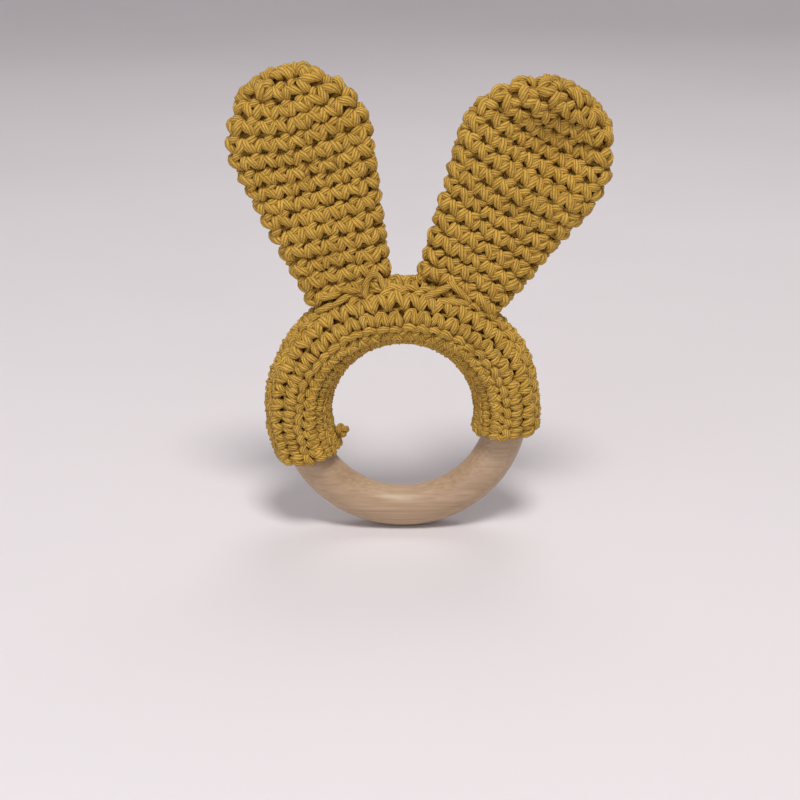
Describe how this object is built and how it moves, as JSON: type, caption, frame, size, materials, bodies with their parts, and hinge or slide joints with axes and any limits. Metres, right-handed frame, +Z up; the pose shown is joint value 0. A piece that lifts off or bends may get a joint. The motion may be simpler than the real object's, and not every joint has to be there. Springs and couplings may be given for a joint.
{
  "type": "teething ring",
  "caption": "Round wooden teething ring with a crocheted yarn sleeve over its upper part and two flat crocheted bunny ears sewn on top.",
  "frame": {"origin": "centre of the wooden ring", "axes": "+Z up through the ears, Y along the ring's axis with the front facing -Y, +X to the right seen from the front"},
  "size_m": [0.1017, 0.0192, 0.1294],
  "materials": {
    "pale_wood": "satin, oiled",
    "mustard_yarn": "matt cotton, crocheted",
    "sewing_yarn": "matt cotton, sewn",
    "fibre_filling": "loose white fibre"
  },
  "bodies": {
    "ring": {"wood_ring": "pale_wood"},
    "sleeve": {"crochet_sleeve": "mustard_yarn", "sleeve_seam": "sewing_yarn", "sleeve_end_knot": "sewing_yarn"},
    "left_ear": {"left_ear_shell": "mustard_yarn", "left_ear_filling": "fibre_filling", "left_ear_seam": "sewing_yarn"},
    "right_ear": {"right_ear_shell": "mustard_yarn", "right_ear_filling": "fibre_filling", "right_ear_seam": "sewing_yarn"}
  },
  "joints": [
    {"name": "ring_turn", "type": "hinge", "parent": "sleeve", "child": "ring", "pos_m": [0, 0, 0], "axis": [0, 1, 0], "continuous": true},
    {"name": "left_ear_flop", "type": "hinge", "parent": "sleeve", "child": "left_ear", "pos_m": [-0.01659, 0, 0.03967], "axis": [0.9225, 0, 0.3859], "range_deg": [-75, 75], "stiffness_Nm_per_rad": 0.033},
    {"name": "right_ear_flop", "type": "hinge", "parent": "sleeve", "child": "right_ear", "pos_m": [0.01763, 0, 0.03922], "axis": [0.9121, 0, -0.4099], "range_deg": [-75, 75], "stiffness_Nm_per_rad": 0.033}
  ]
}
